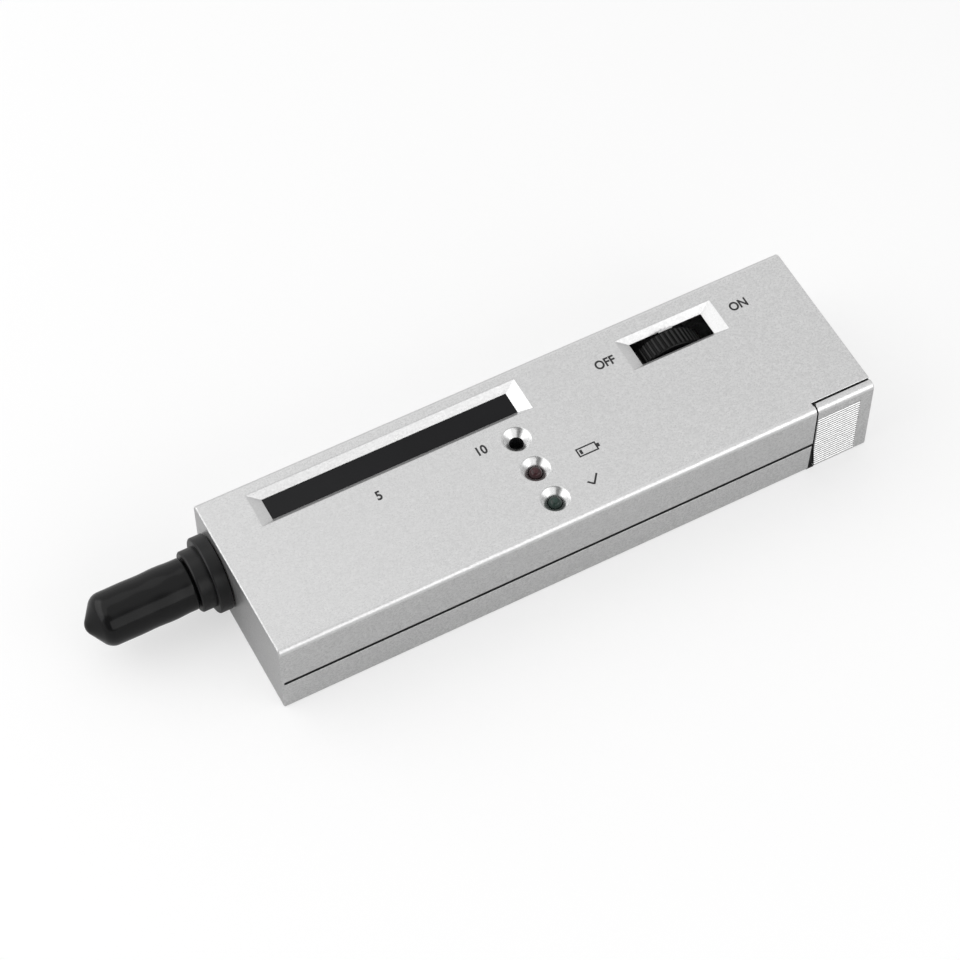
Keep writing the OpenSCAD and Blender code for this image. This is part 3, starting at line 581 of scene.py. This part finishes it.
def isGroove(face):        # the walls of the shadow groove and of the gap beside the door, which get painted shade
    middle = fromCorner(face.calc_center_bounds())
    low, high = case["groove"]
    shallow, deepest = case["grooveDepth"]
    depth = min(middle.y, (caseHigh.y - caseLow.y) / mm - middle.y)
    start, stop = (case["doorStart"] + length for length in case["opening"])
    near, far = case["openingSide"]
    beside = start < middle.x < stop and near < middle.y < far
    return (low < middle.z < high and shallow < depth < deepest) or beside or isStripGap(face, middle)


def isDoorGap(face):        # the door's left end, tongue and wedge, and the far side of its strip, which get painted shade
    middle = fromCorner(face.calc_center_bounds())
    inner = face.normal.x < -case["flankLean"] or middle.y > case["doorSkin"]
    left = middle.x < case["doorStart"] + case["wedge"] and inner
    return left or isStripGap(face, middle)


def makeCase():
    shellFinishes = [("cutSilver", isCut), ("polishedSink", isSink), ("highlightEdgeSilver", isFillet),
                     ("endSilver", isProbeEnd), ("paintedShadeDark", isGroove)]
    doorFinishes = [("highlightEdgeSilver", isFillet), ("ribSilver", isRibFlank), ("paintedShadeDark", isDoorGap)]
    shells = [("upperCase", "upper_shell", "case", case["side"], shellFinishes),
              ("lowerCase", "lower_shell", "case", case["side"], shellFinishes),
              ("doorPanel", "battery_door", "door", case["ribs"], doorFinishes)]
    for name, node, body, sideRound, finishes in shells:
        shell = copyNode(name, node)
        roundEdges(shell, *case["rim"], onRoof)
        roundEdges(shell, *case["end"], onCaseEnd)
        roundEdges(shell, *sideRound, onCaseSide)
        shell.data.materials.append(paints["silverPaint"])
        for number, (paintName, test) in enumerate(finishes, 1):
            shell.data.materials.append(paints[paintName])
            paintFaces(shell, number, test)
        if name == "lowerCase":        # a lip in the painted shade closes the wedge from below, standing in for the shade there
            low, high = (at(*corner) for corner in case["lip"])
            bpy.ops.mesh.select_all(action="DESELECT")
            bpy.ops.mesh.primitive_cube_add(size=1, location=(low + high) / 2, scale=high - low)
            bpy.ops.object.material_slot_assign()
        finishPiece(shell, body, "silverPaint", (node,), case["smooth"])


# Probe: the moulded cap and the stepped collar behind it
probe = {"v": 29.7, "z": 10.625, "steps": 128}        # its axis, and faces round it
cap = {
    "end": -29.65, "base": -6.55,
    "radius": 5.78,
    "wave": 0.1, "waveTop": 0.7, "waveLength": 0.45,        # soft unevenness: mm, then shares of the side
    "shoulder": 3.1, "cone": 55, "tip": 2.6,        # mm, degrees, mm
    "hem": 0.6,        # rounding of its open end
    "bore": 4.4, "boreEnd": -13.2, "bell": 4.1, "bellEnd": -24.4, "endWall": 2.8,
    "points": (8, 12, 24, 5),        # steps of the profile on tip, shoulder, side and hem
    "smooth": 50,        # degrees
}
collar = {        # radius and place along the axis of each step
    "bore": 2.55, "nose": (3.1, -16.9), "spigot": (4.3, -12.9),
    "step": (6.7, -6.4), "ring": (8.35, -3.3), "back": -0.35,
    "neck": (6.4, 1.7), "flange": (7.6, 3.2), "tail": (4.0, 5.2),
    "brow": 0.3, "edge": (0.12, 3),        # chamfer, and radius and segments of the rounded edges
}


def capProfile():
    tipSteps, shoulderSteps, sideSteps, hemSteps = cap["points"]
    cone = math.radians(cap["cone"])
    side = cap["radius"] - cap["shoulder"]
    tipHeight = cap["end"] + cap["tip"]
    shoulderHeight = tipHeight + (side * math.cos(cone) + cap["shoulder"] - cap["tip"]) / math.sin(cone)
    hemHeight = cap["base"] - cap["hem"]
    wallHeight = cap["end"] + cap["endWall"]
    flank = []
    for k in range(1, sideSteps):
        share = k / sideSteps        # from the shoulder to the hem
        swing = math.cos(math.tau * (cap["waveTop"] - share) / cap["waveLength"]) * share
        height = shoulderHeight + (hemHeight - shoulderHeight) * share
        flank.append((cap["radius"] + cap["wave"] * swing, height))
    hem = arc(flank[-1][0] - cap["hem"], hemHeight, cap["hem"], 0, -90, hemSteps)
    hollow = [(cap["bore"], cap["base"]), (cap["bore"], cap["boreEnd"]), (cap["bell"], cap["boreEnd"]),
              (cap["bell"], cap["bellEnd"]), (cap["tip"], wallHeight), (0, wallHeight)]
    tip = arc(0, tipHeight, cap["tip"], 90, cap["cone"], tipSteps)
    shoulder = arc(side, shoulderHeight, cap["shoulder"], cap["cone"], 0, shoulderSteps)
    return tip + shoulder + flank + hem + hollow


def collarProfile():
    brow, bore, back = collar["brow"], collar["bore"], collar["back"]
    spigot, spigotEnd = collar["spigot"]
    points = [(bore, collar["nose"][1]), collar["nose"], (spigot - brow, spigotEnd),
              (spigot, spigotEnd + brow), (spigot, collar["step"][1])]
    for radius, front, end in ((*collar["step"], collar["ring"][1]), (*collar["ring"], back)):
        points += [(radius - brow, front), (radius, front + brow), (radius, end)]
    (neck, wall), (flange, flangeEnd), (tail, tailEnd) = collar["neck"], collar["flange"], collar["tail"]
    points += [(neck, back), (neck, wall), (flange, wall), (flange, flangeEnd), (tail, flangeEnd),
               (tail, tailEnd), (bore, tailEnd)]
    return points + points[:1]


def makeProbe():
    foot = at(0, probe["v"], probe["z"])
    piece = spinPiece("softCap", capProfile(), foot, along, upward, probe["steps"])
    finishPiece(piece, "cap", "glossBlack", ("probe_cap",), cap["smooth"])
    piece = spinPiece("steppedCollar", collarProfile(), foot, along, upward, probe["steps"])
    roundEdges(piece, *collar["edge"], anyEdge)
    finishPiece(piece, "case", "satinBlack", ("probe_collar",))


# Thumbwheel: a turned body with a ring of raised ridges
wheel = {
    "u": 106.4, "near": 29.15, "z": 11.575,
    "radius": 8.975, "width": 4.2, "bore": 2.05, "recess": (3.3, 1.2),
    "ridges": 48, "ridgeHeight": 0.4, "chamfer": 0.15,
    "ridgeRound": (0.2, 3),        # mm and segments
    "facesPerRidge": 4,        # half of them make the ridge, and half the groove
    "rimRoom": 0.1, "crestRoom": 0.3, "grooveRoom": 0.15,        # mm in and out from the rim, and off the top
    "rimSide": 0.1, "grooveSide": 0.5,        # how far the faces there may look sideways
}


def makeWheel():
    foot = at(wheel["u"], wheel["near"], wheel["z"])
    root, width, chamfer = wheel["radius"] - wheel["ridgeHeight"], wheel["width"], wheel["chamfer"]
    bore, (recessRadius, recessDepth) = wheel["bore"], wheel["recess"]
    profile = [(bore, recessDepth), (recessRadius, recessDepth), (recessRadius, 0), (root - chamfer, 0),
               (root, chamfer), (root, width - chamfer), (root - chamfer, width), (bore, width),
               (bore, recessDepth)]
    steps = wheel["facesPerRidge"] * wheel["ridges"]
    piece = spinPiece("ridgedWheel", profile, foot, across, upward, steps)

    def reach(point):        # mm from the wheel's axis
        return math.hypot(point.x - foot.x, point.z - foot.z) / mm

    def isCrest(face):        # every other pair of faces round the rim
        middle = face.calc_center_median()
        turn = math.atan2(middle.x - foot.x, middle.z - foot.z) / math.tau * wheel["ridges"]
        onRim = abs(face.normal.y) < wheel["rimSide"] and reach(middle) > root - wheel["rimRoom"]
        return onRim and turn % 1 < 0.5

    def onCrest(edge):
        return all(reach(vert.co) > root + wheel["crestRoom"] for vert in edge.verts)

    def inGroove(face):        # the floor or a side of a groove, which gets painted shade
        away = reach(face.calc_center_median())
        between = root - wheel["rimRoom"] < away < wheel["radius"] - wheel["grooveRoom"]
        return between and abs(face.normal.y) < wheel["grooveSide"]

    pick(piece, "faces", isCrest)
    bpy.ops.mesh.extrude_region_move()
    grow = wheel["radius"] / root
    bpy.ops.transform.resize(value=(grow, 1, grow), center_override=foot)
    roundEdges(piece, *wheel["ridgeRound"], onCrest)
    piece.data.materials.append(paints["wheelBlack"])
    piece.data.materials.append(paints["wheelGrooveShade"])
    paintFaces(piece, 1, inGroove)
    finishPiece(piece, "wheel", "wheelBlack", ("thumbwheel",))


# Case screws: pan heads with a cross recess
screw = {
    "places": [(8.35, 4.9), (8.35, 35.1), (78.4, 4.9), (128.4, 35.1)],
    "profile": [(0, 2.4), (1.45, 2.42), (1.85, 2.6), (2.05, 2.9), (2.1, 3.2), (2.1, 4.0), (1.1, 4.0),
                (1.1, 14.6), (0.8, 15.0), (0, 15.0)],
    "steps": 48,        # faces round it
    "edge": (0.08, 2),        # radius and segments of its edges
    "cross": (2.4, 0.55), "cut": (1.5, 3.2),        # span and width of the recess, and heights of the cut
}


def addBlock(low, high):        # a box from corner to corner
    bpy.ops.object.select_all(action="DESELECT")
    bpy.ops.mesh.primitive_cube_add(size=1, location=(low + high) / 2)
    block = bpy.context.object
    block.scale = high - low
    bpy.ops.object.transform_apply(location=True, rotation=True, scale=True)
    return block


def cutOut(piece, cutter):
    only(piece)
    bpy.ops.object.modifier_add(type="BOOLEAN")
    piece.modifiers[-1].object = cutter
    piece.modifiers[-1].operation = "DIFFERENCE"
    bpy.ops.object.modifier_apply(modifier=piece.modifiers[-1].name)
    only(cutter)
    bpy.ops.object.delete()


def makeScrews():
    span, width = screw["cross"]
    bottom, top = screw["cut"]
    made = []
    for u, v in screw["places"]:
        piece = spinPiece("caseScrew", screw["profile"], at(u, v, 0), upward, along, screw["steps"])
        roundEdges(piece, *screw["edge"], anyEdge)
        bpy.ops.object.mode_set(mode="OBJECT")
        for wide, deep in ((span, width), (width, span)):
            low = at(u - wide / 2, v - deep / 2, bottom)
            cutOut(piece, addBlock(low, at(u + wide / 2, v + deep / 2, top)))
        made.append(piece)
    only(made[0])
    for piece in made:
        piece.select_set(True)
    bpy.ops.object.join()
    bpy.context.object.name = "caseScrews"
    openMesh(bpy.context.object)
    finishPiece(bpy.context.object, "case", "steel", ("case_screws",))


# Battery: a wrapped block with rounded edges
battery = {
    "long": (1.6, 5), "rim": (0.5, 3),        # radius and segments of its long edges and of the others
    "least": 20,        # mm that a long edge has
}


def isLong(edge):        # runs the length of the battery
    way = edge.verts[0].co - edge.verts[1].co
    return abs(way.x) > battery["least"] * mm


def makeBattery():
    piece = copyNode("wrappedBattery", "battery")
    roundEdges(piece, *battery["long"], isLong)
    roundEdges(piece, *battery["rim"], anyEdge)
    finishPiece(piece, "case", "batteryJacket", ("battery",))


# Printing on the roof: a switch's two words, plain scale numbers and two signs made of bars
printing = {
    "height": 2.3, "narrow": 0.88,        # mm, and width as a share of the letters' own
    "lift": 0.012, "bold": 0.06,        # mm thick, and mm added to the strokes
    "drawn": 2.0,        # mm, size of the letters before they are fitted to the height
    "words": {"OFF": (91.15, 31.45), "ON": (123.55, 31.45), "5": (34.3, 24.0), "10": (57.8, 24.0)},
    "signs": {        # middle of each bar, its length, width and turn in degrees
        "batterySign": ((77.2, 14.1), [((0, 0.95), 4.6, 0.34, 0), ((0, -0.95), 4.6, 0.34, 0),
                                       ((-2.13, 0), 1.56, 0.34, 90), ((2.13, 0), 1.56, 0.34, 90),
                                       ((2.58, 0), 0.9, 0.56, 90), ((-1.4, 0), 1.1, 0.6, 90)]),
        "readySign": ((74.6, 6.9), [((-0.75, -0.32), 1.4, 0.42, -45), ((0.6, 0.12), 2.8, 0.42, 52)]),
    },
}


def addWord(name, word, u, v):
    bpy.ops.object.select_all(action="DESELECT")
    bpy.ops.object.text_add()
    piece = bpy.context.object
    piece.name = name
    piece.data.body = word
    piece.data.align_x, piece.data.align_y = "CENTER", "CENTER"
    piece.data.size = printing["drawn"] * mm
    piece.data.extrude = printing["lift"] / 2 * mm        # to each side
    piece.data.offset = printing["bold"] * mm
    bpy.ops.object.convert(target="MESH")
    piece = bpy.context.object
    scale = printing["height"] * mm / piece.dimensions.y
    piece.scale = (scale * printing["narrow"], scale, 1)
    piece.location = onTop(u, v) + upward * printing["lift"] / 4 * mm        # a quarter of it in the roof
    bpy.ops.object.transform_apply(location=True, rotation=True, scale=True)
    openMesh(piece)
    bpy.ops.mesh.remove_doubles(threshold=modelling["fineWeld"] * mm)
    finishPiece(piece, "case", "ink")


def addSign(name, middle, bars):
    bpy.ops.object.select_all(action="DESELECT")
    strokes = []
    for (du, dv), length, width, turn in bars:
        place = onTop(middle[0] + du, middle[1] + dv)
        bpy.ops.mesh.primitive_plane_add(size=mm, location=place, rotation=(0, 0, math.radians(turn)))
        bpy.context.object.scale = (length, width, 1)
        strokes.append(bpy.context.object)
    for stroke in strokes:
        stroke.select_set(True)
    bpy.ops.object.transform_apply(location=True, rotation=True, scale=True)
    bpy.ops.object.join()
    piece = bpy.context.object
    piece.name = name
    openMesh(piece)
    rise = upward * printing["lift"] / 2 * mm
    bpy.ops.mesh.extrude_region_move(TRANSFORM_OT_translate={"value": rise})
    bpy.ops.mesh.select_all(action="SELECT")
    bpy.ops.mesh.normals_make_consistent(inside=False)
    finishPiece(piece, "case", "ink")


makeCase()
makeProbe()
makeWheel()
makeScrews()
makeBattery()
for number, (word, (u, v)) in enumerate(printing["words"].items()):
    addWord("printedWord" + str(number), word, u, v)
for name, (middle, bars) in printing["signs"].items():
    addSign(name, middle, bars)


# Studio: a pale floor, four soft boxes and a dim surround
studio = {
    "floorSize": 6.0,        # m
    "floorTone": 0.42,
    "floorGlow": 0.56,        # share of white that the floor shows by itself
    "glossyShare": 0.3,        # how much of that the shiny surfaces see
    "surround": 0.76,
    "openFront": ((-0.37, -0.79, 0.50), 28, 48, 0.75),        # dim side: towards it, two angles, depth
}
softBoxes = {        # towards the box from the case, distance mm, width and height mm, level
    "overhead": ((-0.48, 0.42, 0.87), 620, (820, 640), 0.48),
    "left": ((-0.765, 0.407, 0.50), 600, (860, 420), 1.02),
    "front": ((0.18, -0.85, 0.46), 600, (900, 420), 1.06),
    "right": ((0.73, -0.57, 0.38), 600, (420, 300), 0.7),
}


def addSoftBox(name, toward, away, size, level):
    aim = Vector(toward).normalized()
    bpy.ops.object.light_add(type="AREA", location=aim * away * mm)
    box = bpy.context.object
    box.name = name + "Box"
    box.rotation_euler = aim.to_track_quat("Z", "Y").to_euler()
    box.data.shape = "RECTANGLE"
    box.data.size, box.data.size_y = (length * mm for length in size)
    box.data.energy = math.pi * level * size[0] * size[1] * mm * mm
    box.visible_camera = False


def addFloor():
    bpy.ops.mesh.primitive_plane_add(size=studio["floorSize"])
    floor = bpy.context.object
    floor.name = "floor"
    paint, shader, place = newPaint("floorWhite", Roughness=0.9, Specular_IOR_Level=0.0)
    shader.inputs["Base Color"].default_value = grey(studio["floorTone"])
    path = place.node("ShaderNodeLightPath", out="Is Camera Ray")
    seen = path + Wire(path.socket.node.outputs["Is Transmission Ray"])
    seen = seen + Wire(path.socket.node.outputs["Is Glossy Ray"]) * studio["glossyShare"]
    glow = seen.node("ShaderNodeEmission", {}, {"Color": grey(1.0), "Strength": seen * studio["floorGlow"]})
    both = glow.node("ShaderNodeAddShader", {}, {0: glow, 1: Wire(shader.outputs[0])})
    feed(paint.node_tree.nodes["Material Output"].inputs["Surface"], both)
    floor.data.materials.append(paint)


def addSurround():        # white to the camera, and a dim tent to everything else
    world = bpy.data.worlds.new("surround")
    scene.world = world
    world.use_nodes = True
    sky = world.node_tree.nodes["Background"]
    sky.inputs["Color"].default_value = grey(1.0)
    ray = Wire(world.node_tree.nodes.new("ShaderNodeLightPath").outputs["Is Camera Ray"])
    toward, inner, outer, depth = studio["openFront"]
    way = ray.node("ShaderNodeTexCoord", out="Generated")
    facing = way.node("ShaderNodeVectorMath", {"operation": "DOT_PRODUCT"},
                      {0: way, 1: Vector(toward).normalized()}, "Value")
    dim = facing.node("ShaderNodeMapRange", {"interpolation_type": "SMOOTHSTEP"},
                      {"Value": facing, "From Min": math.cos(math.radians(outer)),
                       "From Max": math.cos(math.radians(inner)), "To Max": depth}, "Result")
    tent = (1 - dim) * studio["surround"]
    feed(sky.inputs["Strength"], ray * (1 - tent) + tent)


addCamera()
addFloor()
addSurround()
for name, values in softBoxes.items():
    addSoftBox(name, *values)
scene.view_settings.view_transform = "Standard"
print("studio:", len(softBoxes), "soft boxes")
